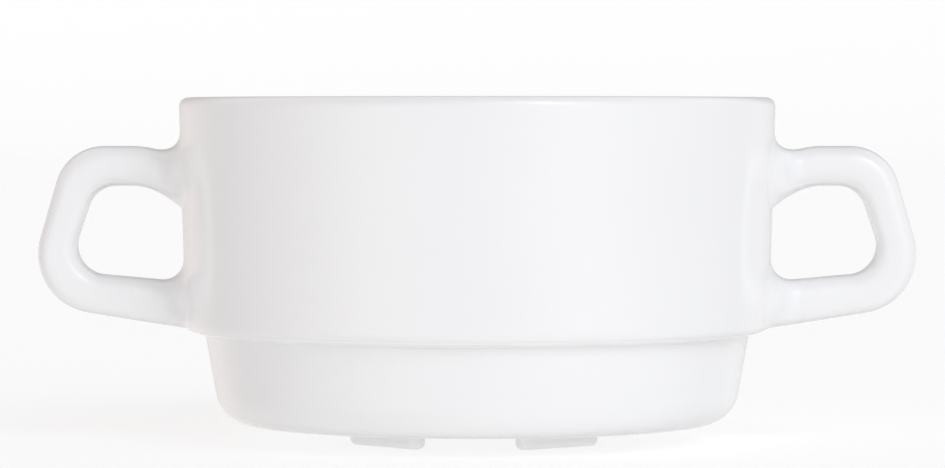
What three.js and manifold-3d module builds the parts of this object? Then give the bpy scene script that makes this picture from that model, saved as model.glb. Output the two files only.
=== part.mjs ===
// Soup cup of pressed white opal glass, with two loop handles, made to stack.
// Millimetres, +Z up. The origin is on the table under the cup's axis, and +X runs through the right handle.

import * as THREE from 'three';
import { mergeVertices } from 'three/addons/utils/BufferGeometryUtils.js';
import Module from 'manifold-3d';

// Bowl, revolved about the axis. Slopes and drafts are in degrees.
const RIM_RADIUS = 50; // outside of the wall at the rim
const CUP_HEIGHT = 57.8; // table to rim
const WALL = 3.8; // glass of the wall, the shoulder and the nesting base
const FLOOR = 4; // glass of the floor
const WALL_DRAFT = 1.6; // the wall opens towards the rim
const RIM_ROUND = 1.5;
const SHOULDER_HEIGHT = 17.45; // table to the line where the shoulder meets the nesting base
const SHOULDER_SLOPE = 25;
const SHOULDER_ROUND = 1.8;
const SHOULDER_FILLET = 0.6;
const STACK_CLEARANCE = 0.6; // nesting base inside the rim of the cup below
const BASE_DRAFT = 10;
const BASE_ROUND = 6.3;
const STEP_ROUND = 2.5; // both bends of the step inside
const FLOOR_ROUND = 6;

// Feet: four straight bars under the base, round the axis.
const FOOT_COUNT = 4;
const FOOT_HEIGHT = 3.1;
const FOOT_LENGTH = 16.9;
const FOOT_WIDTH = 3.2;
const FOOT_REACH = 21.4; // axis to a bar's outer side
const FOOT_TURN = 3.6; // degrees by which the ring of bars is off the handle line
const FOOT_CORNER = 1.3; // round of a bar's upright edges
const FOOT_ROUND = 1.1; // round of its lower edges

// Handles, in the side view. Lengths along X start at the rim's radius.
const HANDLE_DROP = 8.15; // rim down to the top of the upper arm
const HANDLE_SPREAD = 18.85; // out to the sharp corner of the upper arm and the post
const BAR = 6.7; // thickness of the upper arm and the post
const LOWER_BAR = 7.4; // thickness of the lower arm at its bend
const POST_LEAN = 16.2; // the post leans out towards its foot
const UPPER_ARM_BEND = 7.5; // where the upper arm turns level
const UPPER_ROOT_DIP = 1; // its top falls towards the wall
const UPPER_ROOT_DROOP = 3.6; // its underside falls towards the wall
const LOWER_ARM_BEND = 4;
const LOWER_ARM_SLOPE = 9.5;
const LOWER_ROOT_SLOPE = 8.5;
const LOWER_GAP_SLOPE = 5; // its upper side, so the arm thickens towards the wall
const UPPER_BEND_OUTSIDE = 8.3;
const UPPER_BEND_INSIDE = 5;
const LOWER_BEND_OUTSIDE = 10;
const LOWER_BEND_INSIDE = 5.5;
const ARM_BEND_ROUND = 12;
const UPPER_ROOT_FILLET = 3;
const UPPER_ROOT_CREASE = 1;
const LOWER_ROOT_FILLET = 4.5;
const ROOT_LIP = 0.2; // edge by which a root stands proud of the wall
const ROOT_LIP_ROUND = 0.15;
const ROOT_MARGIN = 0.8; // root beyond its fillet, along the wall

// Handles, across.
const BAR_DEPTH = 9.5;
const BAR_SQUARENESS = 2.9; // exponent of the bar's oval: 2 is an ellipse
const ROOT_LENGTH = 8; // wall to where the root has thinned to the bar
const ROOT_SPREAD = 11; // by which a root spreads over the wall, to the front and to the back
const SEAT = 2; // rim radius to the plane where handle and root meet

// Facets
const TURN_SIDES = 72;
const BOWL_ARC_STEPS = 4;
const HANDLE_ARC_STEPS = 6;
const BAR_SIDES = 20;
const FOOT_CORNER_STEPS = 4;
const FOOT_ROUND_STEPS = 4;
const WELD = 1e-4;

const wasm = await Module();
wasm.setup();

const degrees = THREE.MathUtils.degToRad;

function glass() {
  return new THREE.MeshStandardMaterial({ color: 0xf3f3f0, roughness: 0.12, metalness: 0 });
}

// A closed geometry as a solid that can be joined and cut.
function solidOf(geometry) {
  const bare = geometry.clone();
  bare.deleteAttribute('normal');
  bare.deleteAttribute('uv');
  const welded = mergeVertices(bare, WELD);
  const corners = welded.index.array;
  const triangles = [];
  for (let i = 0; i < corners.length; i += 3) {
    const [a, b, c] = corners.slice(i, i + 3);
    if (a !== b && b !== c && c !== a) triangles.push(a, b, c);
  }
  const vertProperties = new Float32Array(welded.attributes.position.array);
  const triVerts = new Uint32Array(triangles);
  return new wasm.Manifold(new wasm.Mesh({ numProp: 3, vertProperties, triVerts }));
}

function geometryOf(solid) {
  const { vertProperties, triVerts } = solid.getMesh();
  const geometry = new THREE.BufferGeometry();
  geometry.setAttribute('position', new THREE.BufferAttribute(vertProperties, 3));
  geometry.setIndex(new THREE.BufferAttribute(triVerts, 1));
  geometry.computeVertexNormals();
  return geometry;
}

// The point where two lines meet, each given by a point and its direction in degrees.
function meet(p, pDirection, q, qDirection) {
  const along = new THREE.Vector2(Math.cos(degrees(pDirection)), Math.sin(degrees(pDirection)));
  const other = new THREE.Vector2(Math.cos(degrees(qDirection)), Math.sin(degrees(qDirection)));
  const length = q.clone().sub(p).cross(other) / along.cross(other);
  return p.clone().addScaledVector(along, length);
}

// A point moved square to a direction in degrees, to its left.
function offset(point, direction, distance) {
  const side = degrees(direction + 90);
  return new THREE.Vector2(point.x + distance * Math.cos(side), point.y + distance * Math.sin(side));
}

// Points of an outline between two ends, with each corner [point, radius] rounded by a tangent arc.
function roundedOutline(start, corners, end, steps) {
  const places = [start, ...corners.map(([point]) => point), end];
  const points = [start];
  corners.forEach(([corner, radius], i) => {
    const back = places[i].clone().sub(corner).normalize();
    const ahead = places[i + 2].clone().sub(corner).normalize();
    const halfAngle = back.angleTo(ahead) / 2;
    const tangent = corner.clone().addScaledVector(back, radius / Math.tan(halfAngle));
    const towards = back.clone().add(ahead).normalize();
    const centre = corner.clone().addScaledVector(towards, radius / Math.sin(halfAngle));
    const turn = Math.sign(ahead.cross(back)) * (Math.PI - 2 * halfAngle);
    for (let step = 0; step <= steps; step++) {
      points.push(tangent.clone().rotateAround(centre, (turn * step) / steps));
    }
  });
  points.push(end);
  return points;
}

// A closed skin over rings of points, each ring counter-clockwise as seen from the last ring's end.
function loft(rings) {
  const sides = rings[0].length;
  const positions = [];
  const index = [];
  rings.flat().forEach((point) => positions.push(point.x, point.y, point.z));
  for (let ring = 0; ring + 1 < rings.length; ring++) {
    for (let side = 0; side < sides; side++) {
      const next = (side + 1) % sides;
      const [a, b] = [ring * sides + side, ring * sides + next];
      const [c, d] = [a + sides, b + sides];
      index.push(a, b, d, a, d, c);
    }
  }
  const last = (rings.length - 1) * sides;
  for (let side = 1; side + 1 < sides; side++) {
    index.push(0, side + 1, side);
    index.push(last, last + side, last + side + 1);
  }
  const geometry = new THREE.BufferGeometry();
  geometry.setAttribute('position', new THREE.Float32BufferAttribute(positions, 3));
  geometry.setIndex(index);
  geometry.computeVertexNormals();
  return geometry;
}

// The bowl's section: the wall and the nesting base outside, the same two with a step between them inside.
const wallDirection = 90 - WALL_DRAFT;
const baseDirection = 90 - BASE_DRAFT;
const rimOutside = new THREE.Vector2(RIM_RADIUS, CUP_HEIGHT);
const rimInside = new THREE.Vector2(RIM_RADIUS - WALL, CUP_HEIGHT);
const nestTop = new THREE.Vector2(RIM_RADIUS - WALL - STACK_CLEARANCE, SHOULDER_HEIGHT);
const shoulderEdge = meet(nestTop, SHOULDER_SLOPE, rimOutside, wallDirection);

function wallRadiusAt(height) {
  return RIM_RADIUS - (CUP_HEIGHT - height) * Math.tan(degrees(WALL_DRAFT));
}

function bowlTurning() {
  const underside = new THREE.Vector2(0, FOOT_HEIGHT);
  const floor = new THREE.Vector2(0, FOOT_HEIGHT + FLOOR);
  const baseEdge = meet(underside, 0, nestTop, baseDirection);
  const shoulderInside = offset(nestTop, SHOULDER_SLOPE, WALL);
  const nestInside = offset(nestTop, baseDirection, WALL);
  const stepOutside = meet(shoulderInside, SHOULDER_SLOPE, rimInside, wallDirection);
  const stepInside = meet(shoulderInside, SHOULDER_SLOPE, nestInside, baseDirection);
  const floorEdge = meet(floor, 0, nestInside, baseDirection);
  const section = roundedOutline(underside, [
    [baseEdge, BASE_ROUND],
    [nestTop, SHOULDER_FILLET],
    [shoulderEdge, SHOULDER_ROUND],
    [rimOutside, RIM_ROUND],
    [rimInside, RIM_ROUND],
    [stepOutside, STEP_ROUND],
    [stepInside, STEP_ROUND],
    [floorEdge, FLOOR_ROUND],
  ], floor, BOWL_ARC_STEPS);
  return new THREE.LatheGeometry(section, TURN_SIDES).rotateX(Math.PI / 2);
}

// The handle's two edges in the side view, from the upper root to the lower one, corner facing corner.
// At each end a root runs level into the wall, from a lip that stands just proud of it.
function handleEdges() {
  const armTop = CUP_HEIGHT - HANDLE_DROP;
  const postDirection = POST_LEAN - 90;
  const upperWall = wallRadiusAt(armTop) + ROOT_LIP;
  const lowerWall = wallRadiusAt(shoulderEdge.y) + ROOT_LIP;
  const buried = ROOT_LIP + WALL / 2;
  const upright = (x) => new THREE.Vector2(x, 0);
  const intoWall = (lip) => new THREE.Vector2(lip.x - buried, lip.y);

  const topRoot = new THREE.Vector2(upperWall, armTop - UPPER_ROOT_DIP);
  const topLip = new THREE.Vector2(upperWall, topRoot.y + UPPER_ROOT_FILLET + ROOT_MARGIN);
  const topBend = new THREE.Vector2(RIM_RADIUS + UPPER_ARM_BEND, armTop);
  const topCorner = new THREE.Vector2(RIM_RADIUS + HANDLE_SPREAD, armTop);
  const lowLip = meet(shoulderEdge, LOWER_ROOT_SLOPE, upright(lowerWall), 90);
  const lowBend = meet(lowLip, LOWER_ROOT_SLOPE, upright(RIM_RADIUS + LOWER_ARM_BEND), 90);
  const lowCorner = meet(topCorner, postDirection, lowBend, LOWER_ARM_SLOPE);

  const gapTop = new THREE.Vector2(0, armTop - BAR);
  const gapPost = offset(topCorner, postDirection, -BAR);
  const gapLow = offset(lowBend, LOWER_GAP_SLOPE, LOWER_BAR);
  const gapTopRoot = new THREE.Vector2(upperWall, gapTop.y - UPPER_ROOT_DROOP);
  const gapTopLip = new THREE.Vector2(upperWall, gapTopRoot.y - UPPER_ROOT_CREASE - ROOT_MARGIN);
  const gapTopBend = new THREE.Vector2(topBend.x, gapTop.y);
  const gapTopCorner = meet(gapTop, 0, gapPost, postDirection);
  const gapLowCorner = meet(gapPost, postDirection, gapLow, LOWER_GAP_SLOPE);
  const gapLowRoot = meet(gapLow, LOWER_GAP_SLOPE, upright(lowerWall), 90);
  const gapLowLip = new THREE.Vector2(lowerWall, gapLowRoot.y + LOWER_ROOT_FILLET + ROOT_MARGIN);

  const outside = roundedOutline(intoWall(topLip), [
    [topLip, ROOT_LIP_ROUND],
    [topRoot, UPPER_ROOT_FILLET],
    [topBend, ARM_BEND_ROUND],
    [topCorner, UPPER_BEND_OUTSIDE],
    [lowCorner, LOWER_BEND_OUTSIDE],
    [lowBend, ARM_BEND_ROUND],
    [lowLip, ROOT_LIP_ROUND],
  ], intoWall(lowLip), HANDLE_ARC_STEPS);
  const inside = roundedOutline(intoWall(gapTopLip), [
    [gapTopLip, ROOT_LIP_ROUND],
    [gapTopRoot, UPPER_ROOT_CREASE],
    [gapTopBend, ARM_BEND_ROUND],
    [gapTopCorner, UPPER_BEND_INSIDE],
    [gapLowCorner, LOWER_BEND_INSIDE],
    [gapLowRoot, LOWER_ROOT_FILLET],
    [gapLowLip, ROOT_LIP_ROUND],
  ], intoWall(gapLowLip), HANDLE_ARC_STEPS);
  return { outside, inside };
}

// How far a root spreads beyond the bar's side at a distance from the wall, in a quarter of an ellipse.
function rootSpread(distance) {
  const nearness = 1 - THREE.MathUtils.clamp(distance, ROOT_LIP, ROOT_LENGTH) / ROOT_LENGTH;
  return ROOT_SPREAD * (1 - Math.sqrt(1 - nearness ** 2));
}

// One oval section of the bar between facing points of the two edges, bent round the cup's axis.
function barRing(outer, inner, side) {
  const middle = outer.clone().add(inner).multiplyScalar(0.5);
  const reach = outer.clone().sub(inner).multiplyScalar(0.5);
  const ring = [];
  for (let step = 0; step < BAR_SIDES; step++) {
    const angle = (2 * Math.PI * step) / BAR_SIDES;
    const along = Math.sign(Math.cos(angle)) * Math.abs(Math.cos(angle)) ** (2 / BAR_SQUARENESS);
    const across = Math.sign(Math.sin(angle)) * Math.abs(Math.sin(angle)) ** (2 / BAR_SQUARENESS);
    const radius = middle.x + reach.x * along;
    const z = middle.y + reach.y * along;
    const y = across * (BAR_DEPTH / 2 + rootSpread(radius - wallRadiusAt(z)));
    ring.push(new THREE.Vector3(side * Math.sqrt(radius ** 2 - y ** 2), -side * y, z));
  }
  return ring;
}

// The whole loop on one side, both roots running on into the wall: side is 1 right, -1 left.
function handleLoop(side) {
  const { outside, inside } = handleEdges();
  return solidOf(loft(outside.map((outer, i) => barRing(outer, inside[i], side))));
}

// All the space on one side of the cup that lies beyond the plane where a handle meets its roots.
function beyondSeat(side) {
  const room = 4 * (RIM_RADIUS + HANDLE_SPREAD + CUP_HEIGHT);
  const block = new THREE.BoxGeometry(room, room, room);
  return solidOf(block.translate(side * (RIM_RADIUS + SEAT + room / 2), 0, 0));
}

// One bar foot lying along X, its flat top against the base and its lower edges rounded.
function footBar() {
  const rings = [];
  for (let step = 0; step <= FOOT_ROUND_STEPS; step++) {
    const angle = (Math.PI / 2) * (step / FOOT_ROUND_STEPS);
    rings.push(footRing(FOOT_ROUND * (1 - Math.sin(angle)), FOOT_ROUND * (1 - Math.cos(angle))));
  }
  rings.push(footRing(0, FOOT_HEIGHT));
  return loft(rings);
}

// The bar's plan, drawn in by an inset, at a height.
function footRing(inset, height) {
  const halfLength = FOOT_LENGTH / 2 - FOOT_CORNER;
  const halfWidth = FOOT_WIDTH / 2 - FOOT_CORNER;
  const radius = FOOT_CORNER - inset;
  const ring = [];
  [[1, 1], [-1, 1], [-1, -1], [1, -1]].forEach(([alongSign, acrossSign], quarter) => {
    for (let step = 0; step <= FOOT_CORNER_STEPS; step++) {
      const angle = (Math.PI / 2) * (quarter + step / FOOT_CORNER_STEPS);
      const x = alongSign * halfLength + radius * Math.cos(angle);
      const y = acrossSign * halfWidth + radius * Math.sin(angle);
      ring.push(new THREE.Vector3(x, y, height));
    }
  });
  return ring;
}

const cup = new THREE.Group();

function addPiece(name, geometry) {
  const piece = new THREE.Mesh(geometry, glass());
  piece.name = name;
  cup.add(piece);
}

// The loops are cut at the seat planes: their roots belong to the bowl, the rest is the handle.
let bowl = solidOf(bowlTurning());
for (const [name, side] of [['right_handle', 1], ['left_handle', -1]]) {
  const loop = handleLoop(side);
  const beyond = beyondSeat(side);
  bowl = bowl.add(loop.subtract(beyond));
  addPiece(name, geometryOf(loop.intersect(beyond)));
}
addPiece('bowl', geometryOf(bowl));

for (let i = 0; i < FOOT_COUNT; i++) {
  const quarter = (2 * Math.PI) / FOOT_COUNT;
  const foot = footBar();
  foot.translate(0, FOOT_WIDTH / 2 - FOOT_REACH, 0);
  foot.rotateZ(quarter * (i + 0.5) - degrees(FOOT_TURN));
  addPiece(`foot_${i + 1}`, foot);
}

export default cup;
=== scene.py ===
import math

import bpy
import numpy as np
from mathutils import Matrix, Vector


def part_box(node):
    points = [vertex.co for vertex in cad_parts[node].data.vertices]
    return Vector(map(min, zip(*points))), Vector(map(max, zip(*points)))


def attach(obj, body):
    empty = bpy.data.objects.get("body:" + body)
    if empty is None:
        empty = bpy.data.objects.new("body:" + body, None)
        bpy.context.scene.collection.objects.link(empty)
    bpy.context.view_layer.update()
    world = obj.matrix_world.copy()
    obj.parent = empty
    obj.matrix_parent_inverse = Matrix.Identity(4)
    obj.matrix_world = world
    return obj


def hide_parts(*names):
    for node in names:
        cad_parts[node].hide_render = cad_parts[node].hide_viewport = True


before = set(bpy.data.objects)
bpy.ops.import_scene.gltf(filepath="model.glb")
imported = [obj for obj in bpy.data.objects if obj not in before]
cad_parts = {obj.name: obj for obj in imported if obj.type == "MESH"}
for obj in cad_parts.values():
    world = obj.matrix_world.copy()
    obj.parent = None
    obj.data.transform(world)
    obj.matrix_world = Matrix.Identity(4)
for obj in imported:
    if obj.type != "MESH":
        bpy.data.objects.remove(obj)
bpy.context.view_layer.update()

# Bowl: a drafted wall over a narrower base that nests in the mouth of the cup below.
# It is white opal glass, pressed in one shot between a mould and a plunger that leaves the same step
# inside, and its edges are rounded by fire-polishing. Angles are in degrees.
mm = 0.001
bowl_low, bowl_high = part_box("bowl")
underside = bowl_low.z
rim_height = bowl_high.z
rim_radius = 50 * mm
wall = 3.8 * mm
floor_glass = 4 * mm
wall_draft = 1.6
base_draft = 10
shoulder_height = 18.1 * mm
shoulder_slope = 15.3
stack_clearance = 0.6 * mm
base_round = 6.3 * mm
shoulder_fillet = 0.6 * mm
shoulder_round = 1.8 * mm
rim_round = 1.5 * mm
step_round = 2.5 * mm
floor_round = 6 * mm
bowl_arc_steps = 12
bowl_run_steps = 10
turn_sides = 360
sharp_edge = 40


def heading(direction):
    """The unit step of a direction in degrees, in a section."""
    return np.array([math.cos(math.radians(direction)), math.sin(math.radians(direction))])


def offset(point, direction, distance):
    """A point moved square to a direction, to its left."""
    return point + distance * heading(direction + 90)


def meet(point, direction, other, other_direction):
    """Where two lines cross, each through a point in its own direction."""
    rows = np.column_stack([heading(direction), -heading(other_direction)])
    length = np.linalg.solve(rows, other - point)[0]
    return point + length * heading(direction)


def rounded_outline(start, corners, end, arc_steps, run_steps):
    """Points from start to end by way of corners (point, radius), each one rounded by a tangent arc.

    On a straight run they crowd towards its ends, which keeps the shading even beside an arc.
    """
    places = [start, *[point for point, radius in corners], end]
    run_shares = (1 - np.cos(np.linspace(0, math.pi, run_steps + 1)[1:, None])) / 2
    arc_shares = np.linspace(0, 1, arc_steps + 1)[1:, None]
    points = [start]
    for before, (corner, radius), after in zip(places, corners, places[2:]):
        back = (before - corner) / np.linalg.norm(before - corner)
        ahead = (after - corner) / np.linalg.norm(after - corner)
        half_angle = math.acos(back @ ahead) / 2
        middle = (back + ahead) / np.linalg.norm(back + ahead)
        centre = corner + middle * radius / math.sin(half_angle)
        first = corner + back * radius / math.tan(half_angle)
        last = corner + ahead * radius / math.tan(half_angle)
        sweep = math.pi - 2 * half_angle
        turned = arc_shares * sweep
        arc = np.sin(sweep - turned) * (first - centre) + np.sin(turned) * (last - centre)
        points.extend(points[-1] + run_shares * (first - points[-1]))
        points.extend(centre + arc / math.sin(sweep))
    points.extend(points[-1] + run_shares * (end - points[-1]))
    return np.array(points)


def skin(name, rings):
    """A closed piece over rings of points, with a point in the middle of each end."""
    count, sides = rings.shape[:2]
    points = np.concatenate([rings.reshape(-1, 3), rings[0].mean(0)[None], rings[-1].mean(0)[None]])
    last = (count - 1) * sides
    start_middle = count * sides
    end_middle = start_middle + 1
    faces = []
    for side in range(sides):
        following = (side + 1) % sides
        for ring in range(count - 1):
            low = ring * sides
            high = low + sides
            faces.append((low + side, low + following, high + following, high + side))
        faces.append((start_middle, following, side))
        faces.append((end_middle, last + side, last + following))
    mesh = bpy.data.meshes.new(name)
    mesh.from_pydata(points.tolist(), [], faces)
    mesh.shade_smooth()
    mesh.set_sharp_from_angle(angle=math.radians(sharp_edge))
    piece = bpy.data.objects.new(name, mesh)
    bpy.context.scene.collection.objects.link(piece)
    return piece


wall_direction = 90 - wall_draft
base_direction = 90 - base_draft
rim_outside = np.array([rim_radius, rim_height])
rim_inside = np.array([rim_radius - wall, rim_height])
nest_top = np.array([rim_radius - wall - stack_clearance, shoulder_height])
bowl_start = np.array([0, underside])
bowl_floor = np.array([0, underside + floor_glass])
shoulder_edge = meet(nest_top, shoulder_slope, rim_outside, wall_direction)
base_edge = meet(bowl_start, 0, nest_top, base_direction)
shoulder_inside = offset(nest_top, shoulder_slope, wall)
nest_inside = offset(nest_top, base_direction, wall)
step_outside = meet(shoulder_inside, shoulder_slope, rim_inside, wall_direction)
step_inside = meet(shoulder_inside, shoulder_slope, nest_inside, base_direction)
floor_edge = meet(bowl_floor, 0, nest_inside, base_direction)
bowl_corners = [
    (base_edge, base_round),
    (nest_top, shoulder_fillet),
    (shoulder_edge, shoulder_round),
    (rim_outside, rim_round),
    (rim_inside, rim_round),
    (step_outside, step_round),
    (step_inside, step_round),
    (floor_edge, floor_round),
]
bowl_section = rounded_outline(bowl_start, bowl_corners, bowl_floor, bowl_arc_steps, bowl_run_steps)[1:-1]
turn = np.linspace(0, 2 * math.pi, turn_sides, endpoint=False)
around = np.stack([np.cos(turn), np.sin(turn), np.ones(turn_sides)], 1)
bowl = skin("bowl_glass", bowl_section[:, [0, 0, 1]][:, None] * around)

glass_ior = 1.52
cloud_size = 26 * mm
cloud_range = [0.3, 0.7]
cloud_greys = [0.925, 0.935]
touch_size = 9 * mm
touch_range = [0.3, 0.75]
long_wave = 14 * mm
long_wave_height = 0.03 * mm
short_wave = 2.2 * mm
short_wave_height = 0.0015 * mm


def opal_glass(name, gloss, worn):
    """White opal glass: clouded a little in its depth, wavy where it cooled, its gloss uneven to the touch.

    Gloss and worn are its roughness where it is smoothest and where it is roughest.
    """
    material = bpy.data.materials.new(name)
    material.use_nodes = True
    nodes = material.node_tree.nodes
    links = material.node_tree.links
    glass = nodes["Principled BSDF"]
    glass.inputs["IOR"].default_value = glass_ior
    place = nodes.new("ShaderNodeTexCoord").outputs["Object"]

    def noise(size, detail):
        cloud = nodes.new("ShaderNodeTexNoise")
        cloud.inputs["Scale"].default_value = 1 / size
        cloud.inputs["Detail"].default_value = detail
        links.new(place, cloud.inputs["Vector"])
        return cloud.outputs["Fac"]

    tint = nodes.new("ShaderNodeValToRGB")
    for stop, position, grey in zip(tint.color_ramp.elements, cloud_range, cloud_greys):
        stop.position = position
        stop.color = (grey, grey, grey, 1)
    links.new(noise(cloud_size, detail=3), tint.inputs["Fac"])
    links.new(tint.outputs["Color"], glass.inputs["Base Color"])

    touch = nodes.new("ShaderNodeMapRange")
    touch.inputs["From Min"].default_value = touch_range[0]
    touch.inputs["From Max"].default_value = touch_range[1]
    touch.inputs["To Min"].default_value = gloss
    touch.inputs["To Max"].default_value = worn
    links.new(noise(touch_size, detail=6), touch.inputs["Value"])
    links.new(touch.outputs["Result"], glass.inputs["Roughness"])

    normal = None
    for size, height in [(long_wave, long_wave_height), (short_wave, short_wave_height)]:
        wave = nodes.new("ShaderNodeBump")
        wave.inputs["Strength"].default_value = 1
        wave.inputs["Distance"].default_value = height
        links.new(noise(size, detail=1), wave.inputs["Height"])
        if normal:
            links.new(normal, wave.inputs["Normal"])
        normal = wave.outputs["Normal"]
    links.new(normal, glass.inputs["Normal"])
    return material


polished = opal_glass("opal_glass_polished", gloss=0.06, worn=0.12)
bowl.data.materials.append(polished)
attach(bowl, "root")
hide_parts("bowl")

# Handles: two loops of the same glass, pressed with the wall: a level arm, a post that leans out and a
# lower arm that runs into the shoulder. Each arm ends in a root that spreads over the wall in a hollow
# fillet, long to the front and back and short above and below. Pairs go outside the loop, then inside.
handle_drop = 8.15 * mm
handle_spread = 18.85 * mm
bar = 6.7 * mm
bar_depth = 9.5 * mm
bar_squareness = 2.9
bar_sides = 96
lower_thickness = 7.9 * mm
lower_slope = 9.2
gap_slope = 5
post_lean = 16.2
gap_post_lean = 18.5
upper_bends = [8.3 * mm, 5 * mm]
lower_bends = [10 * mm, 4.9 * mm]
bend_steps = 18
arm_steps = 6
arm_clearance = 0.2 * mm
root_length = 8 * mm
root_side = 5.5 * mm
root_spread = 8 * mm
root_dip = 2 * mm
root_droop = 3.8 * mm
root_hang_power = 1.8
root_lip = 0.3 * mm
root_steps = 30
upper_fillets = [4.6 * mm, 0.3 * mm]
lower_fillets = [0.5 * mm, 4 * mm]
skin_lift = 0.006 * mm

arm_top = rim_height - handle_drop
post_direction = post_lean - 90
gap_post_direction = gap_post_lean - 90
outer_face = bowl_section[: np.argmax(bowl_section[:, 1])]


def wall_radius(height):
    """The bowl's outer radius at a height."""
    return np.interp(height, outer_face[:, 1], outer_face[:, 0])


bar_turn = np.linspace(0, 2 * math.pi, bar_sides, endpoint=False)
bar_along = np.sign(np.cos(bar_turn)) * np.abs(np.cos(bar_turn)) ** (2 / bar_squareness)
bar_across = np.sign(np.sin(bar_turn)) * np.abs(np.sin(bar_turn)) ** (2 / bar_squareness)


def bar_ring(outer, inner):
    """One oval section of the bar between facing points of its edges, bent round the cup's axis."""
    radius, height = ((outer + inner) / 2 + bar_along[:, None] * (outer - inner) / 2).T
    depth = -bar_across * bar_depth / 2
    return np.stack([np.sqrt(radius**2 - depth**2), depth, height], 1)


def fillet_spread(away, length, spread):
    """How far a fillet spreads over the wall at a distance from it, in a quarter of an ellipse."""
    nearness = 1 - min(away / length, 1)
    return spread * (1 - math.sqrt(1 - nearness**2))


def root_ring(away, edges, fillets, lip=0):
    """The root's section at a distance from the wall, bent round the bowl."""
    outer, inner = edges(away)
    spreads = [lip + fillet_spread(away, radius, radius) for radius in fillets]
    half = abs(outer - inner) / 2 + np.where(bar_along > 0, *spreads)
    height = (outer + inner) / 2 + np.sign(outer - inner) * half * bar_along
    depth = -bar_across * (bar_depth / 2 + lip + fillet_spread(away, root_side, root_spread))
    radius = wall_radius(height) + skin_lift + away
    return np.stack([np.sqrt(radius**2 - depth**2), depth, height], 1)


def upper_edges(away):
    """The upper arm's top and underside, which both hang towards the wall."""
    hang = max(0, 1 - away / root_length) ** root_hang_power
    return arm_top - root_dip * hang, arm_top - bar - root_droop * hang


def lower_edges(away):
    """The lower arm's underside and top, which both rise away from the shoulder."""
    low = shoulder_edge[1]
    rise = math.tan(math.radians(lower_slope))
    gap_rise = math.tan(math.radians(gap_slope))
    return low + rise * away, low + lower_thickness + gap_rise * away


def root(edges, fillets):
    """Rings from inside the wall, over a thin lip that lies on it, out to where the arm begins."""
    rings = [root_ring(0, edges, fillets, root_lip)]
    for step in np.linspace(0, math.pi / 2, root_steps):
        rings.append(root_ring(root_length * (1 - math.cos(step)), edges, fillets))
    buried = rings[0].copy()
    radius = np.linalg.norm(buried[:, :2], axis=1, keepdims=True)
    buried[:, :2] *= (radius - wall / 2) / radius
    return [buried, *rings]


top_corner = np.array([rim_radius + handle_spread, arm_top])
low_corner = meet(top_corner, post_direction, shoulder_edge, lower_slope)
gap_top = np.array([0, arm_top - bar])
gap_post = offset(top_corner, post_direction, -bar)
gap_low = shoulder_edge + np.array([0, lower_thickness])
gap_top_corner = meet(gap_top, 0, gap_post, gap_post_direction)
gap_low_corner = meet(gap_post, gap_post_direction, gap_low, gap_slope)
arm_start = wall_radius(arm_top) + root_length + arm_clearance
arm_end = shoulder_edge[0] + root_length + arm_clearance
lower_outer, lower_inner = lower_edges(arm_end - shoulder_edge[0])
outer_edge = rounded_outline(
    np.array([arm_start, arm_top]),
    [(top_corner, upper_bends[0]), (low_corner, lower_bends[0])],
    np.array([arm_end, lower_outer]), bend_steps, arm_steps)
inner_edge = rounded_outline(
    np.array([arm_start, arm_top - bar]),
    [(gap_top_corner, upper_bends[1]), (gap_low_corner, lower_bends[1])],
    np.array([arm_end, lower_inner]), bend_steps, arm_steps)
loop = [bar_ring(outer, inner) for outer, inner in zip(outer_edge, inner_edge)]
right_rings = np.array(root(upper_edges, upper_fillets) + loop + root(lower_edges, lower_fillets)[::-1])
left_rings = right_rings * np.array([-1, -1, 1])
for name, node, rings in [
    ("right_handle_glass", "right_handle", right_rings),
    ("left_handle_glass", "left_handle", left_rings),
]:
    handle = skin(name, rings)
    handle.data.materials.append(polished)
    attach(handle, "root")
    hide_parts(node)

# Feet: four straight bars under the base, pressed with it, that carry the cup clear of the table.
# Their lower edges are rounded, they run out into the underside in a small fillet, and their soles are
# scuffed by tables and trays.
foot_count = 4
foot_length = 16.9 * mm
foot_width = 3.2 * mm
foot_reach = 21.4 * mm
foot_turn = 3.6
foot_corner = 1.3 * mm
foot_round = 1.1 * mm
foot_fillet = 0.7 * mm
foot_corner_steps = 10
foot_round_steps = 8


def foot_ring(grow, height):
    """The bar's plan, grown or drawn in all round, at a height."""
    ring = []
    for quarter, (along, across) in enumerate([(1, 1), (-1, 1), (-1, -1), (1, -1)]):
        for step in range(foot_corner_steps + 1):
            angle = math.pi / 2 * (quarter + step / foot_corner_steps)
            x = along * (foot_length / 2 - foot_corner) + (foot_corner + grow) * math.cos(angle)
            y = across * (foot_width / 2 - foot_corner) + (foot_corner + grow) * math.sin(angle)
            ring.append((x, y + foot_width / 2 - foot_reach, height))
    return ring


foot_rings = []
for step in np.linspace(0, math.pi / 2, foot_round_steps + 1):
    foot_rings.append(foot_ring(-foot_round * (1 - math.sin(step)), foot_round * (1 - math.cos(step))))
for step in np.linspace(0, math.pi / 2, foot_round_steps + 1):
    below = max(foot_fillet * (1 - math.sin(step)), skin_lift)
    foot_rings.append(foot_ring(foot_fillet * (1 - math.cos(step)), underside - below))
foot_rings.append(foot_ring(foot_fillet, underside + floor_glass / 2))
scuffed = opal_glass("opal_glass_scuffed", gloss=0.28, worn=0.45)
for index in range(foot_count):
    angle = 2 * math.pi / foot_count * (index + 0.5) - math.radians(foot_turn)
    spin = np.array([
        [math.cos(angle), math.sin(angle), 0],
        [-math.sin(angle), math.cos(angle), 0],
        [0, 0, 1],
    ])
    foot = skin(f"foot_{index + 1}_glass", np.array(foot_rings) @ spin)
    foot.data.materials.append(scuffed)
    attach(foot, "root")
    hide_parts(f"foot_{index + 1}")

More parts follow.
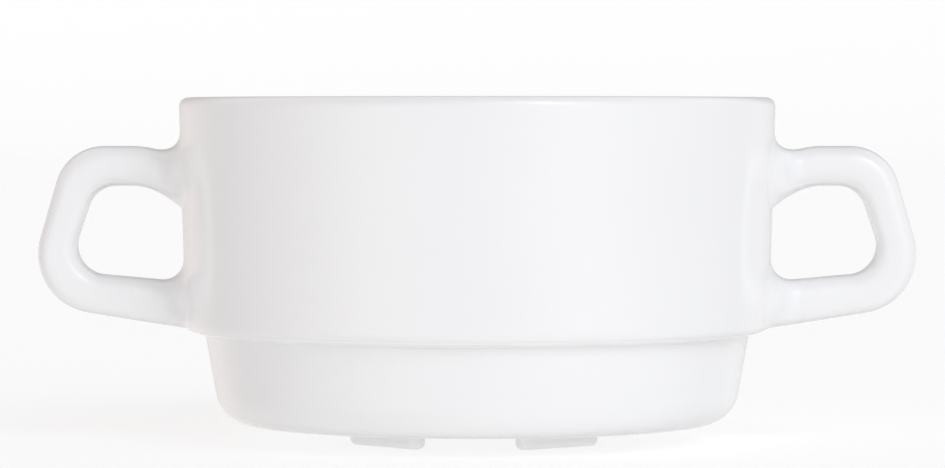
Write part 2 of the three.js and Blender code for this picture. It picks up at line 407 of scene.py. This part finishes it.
# Stage: a wide sheet of white acrylic, lit from below, that curls up far off so that no horizon shows.
# Soft diffusers glow round it: two keys and a small lamp to the right of the camera, a fill in front, one
# overhead, two behind, and a row low down behind and on the left. The gloss shows them and not the sheet.
sheet_thickness = 0.05
sheet_reach = 7
sheet_rise = 0.5
sheet_slope = 40
sheet_bend = 2
sheet_edge_round = sheet_thickness / 9
sheet_arc_steps = 12
sheet_run_steps = 14
sheet_grey = 0.5
sheet_glow = 0.58
sheet_roughness = 0.9

sheet_start = np.array([0, -sheet_thickness])
sheet_end = np.array([0, 0])
sheet_edge = np.array([sheet_reach, sheet_rise])
sheet_low_edge = sheet_edge - np.array([0, sheet_thickness])
sheet_corners = [
    (meet(sheet_start, 0, sheet_low_edge, sheet_slope), sheet_bend),
    (sheet_low_edge, sheet_edge_round),
    (sheet_edge, sheet_edge_round),
    (meet(sheet_end, 0, sheet_edge, sheet_slope), sheet_bend),
]
sheet_section = rounded_outline(sheet_start, sheet_corners, sheet_end, sheet_arc_steps, sheet_run_steps)[1:-1]
floor = skin("floor", sheet_section[:, [0, 0, 1]][:, None] * around)
floor.visible_glossy = False
acrylic = bpy.data.materials.new("white_acrylic")
acrylic.use_nodes = True
sheet = acrylic.node_tree.nodes["Principled BSDF"]
sheet.inputs["Base Color"].default_value = (sheet_grey, sheet_grey, sheet_grey, 1)
sheet.inputs["Roughness"].default_value = sheet_roughness
sheet.inputs["Specular IOR Level"].default_value = 0
sheet.inputs["Emission Color"].default_value = (1, 1, 1, 1)
sheet.inputs["Emission Strength"].default_value = sheet_glow
floor.data.materials.append(acrylic)

sky = bpy.data.worlds.new("sky")
bpy.context.scene.world = sky
sky.use_nodes = True
sky_nodes = sky.node_tree.nodes
sky_links = sky.node_tree.links
direction = sky_nodes.new("ShaderNodeTexCoord").outputs["Generated"]


def sky_math(operation, value, other):
    """A sum of the sky: a value worked on by a number."""
    step = sky_nodes.new("ShaderNodeMath")
    step.operation = operation
    sky_links.new(value, step.inputs[0])
    step.inputs[1].default_value = other
    return step.outputs["Value"]


def glow(azimuth, elevation, tightness, brightness, tint):
    """A soft light in the sky. Azimuth is 0 towards the camera and grows to the right."""
    turn = math.radians(azimuth)
    rise = math.radians(elevation)
    facing = sky_nodes.new("ShaderNodeVectorMath")
    facing.operation = "DOT_PRODUCT"
    facing.inputs[1].default_value = (
        math.sin(turn) * math.cos(rise), -math.cos(turn) * math.cos(rise), math.sin(rise))
    sky_links.new(direction, facing.inputs[0])
    spread = sky_math("POWER", sky_math("MAXIMUM", facing.outputs["Value"], 0), tightness)
    lit = sky_nodes.new("ShaderNodeVectorMath")
    lit.operation = "SCALE"
    lit.inputs[0].default_value = tint
    sky_links.new(sky_math("MULTIPLY", spread, brightness), lit.inputs["Scale"])
    return lit.outputs["Vector"]


white = (1, 1, 1)
cool = (0.97, 0.99, 1.06)
warm = (1.12, 1, 0.96)
low_elevation = -8
low_tightness = 12
overhead = glow(0, 90, 1.5, 0.34, white)
key = glow(42, 10, 10, 1.1, cool)
high_key = glow(28, 34, 16, 2.1, cool)
small_lamp = glow(28, 34, 150, 2.4, cool)
front = glow(0, 10, 6, 0.54, white)
rear_left = glow(-120, 40, 6, 0.88, warm)
rear_right = glow(120, 40, 6, 0.96, white)
low_front_left = glow(-40, low_elevation, low_tightness, 1.06, warm)
low_left = glow(-75, low_elevation, low_tightness, 0.41, warm)
low_rear_left = glow(-145, low_elevation, low_tightness, 0.76, warm)
low_rear = glow(180, low_elevation, low_tightness, 0.66, white)
low_rear_right = glow(145, low_elevation, low_tightness, 0.7, white)
light = overhead
for diffuser in [
    key, high_key, small_lamp, front, rear_left, rear_right,
    low_front_left, low_left, low_rear_left, low_rear, low_rear_right,
]:
    both = sky_nodes.new("ShaderNodeVectorMath")
    both.operation = "ADD"
    sky_links.new(light, both.inputs[0])
    sky_links.new(diffuser, both.inputs[1])
    light = both.outputs["Vector"]
sky_links.new(light, sky_nodes["Background"].inputs["Color"])
bpy.context.scene.view_settings.view_transform = "Standard"

# Camera: a long lens on a stand three quarters of a metre in front of the cup, a little below its rim.
# It is tipped slightly down, so the inside stays hidden and the two front feet show under the base.
camera_distance = 739 * mm
camera_height = 54.5 * mm
camera_aside = -0.79 * mm
camera_tip = 1.523
lens_length = 167.6
film_width = 36
lens = bpy.data.cameras.new("camera")
lens.sensor_width = film_width
lens.lens = lens_length
camera = bpy.data.objects.new("camera", lens)
camera.location = (camera_aside, -camera_distance, camera_height)
camera.rotation_euler = (math.radians(90 - camera_tip), 0, 0)
bpy.context.scene.collection.objects.link(camera)
bpy.context.scene.camera = camera

bpy.context.view_layer.update()
